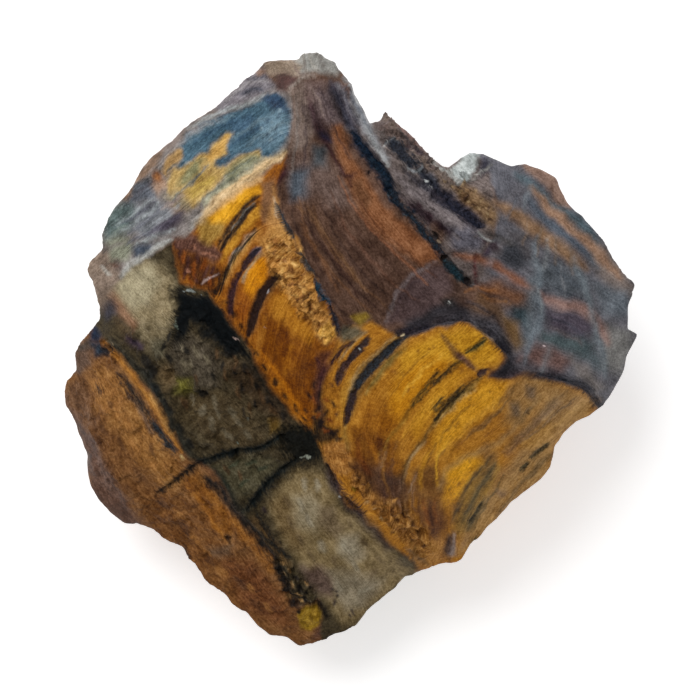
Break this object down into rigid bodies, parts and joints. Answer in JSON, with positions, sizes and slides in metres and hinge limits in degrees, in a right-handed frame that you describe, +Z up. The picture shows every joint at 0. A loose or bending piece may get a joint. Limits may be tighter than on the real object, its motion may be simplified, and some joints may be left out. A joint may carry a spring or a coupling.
{
  "type": "rough tigers eye",
  "caption": "Rough broken chunk of banded tiger's eye stone with silky gold seams, pale quartz and brown-blue layers, lying on a flat underside.",
  "frame": {"origin": "centre of the stone's bounding box on the ground plane, under the stone", "axes": "+Z up from the flat base, +Y towards the peak of the outline, +X towards the slate-blue side"},
  "size_m": [0.0636, 0.0658, 0.0355],
  "materials": {
    "tigers_eye": "rough broken stone with silky gold fibre bands, glassy quartz and dull brown layers"
  },
  "bodies": {
    "root": {"tigers_eye": "tigers_eye"}
  },
  "joints": []
}
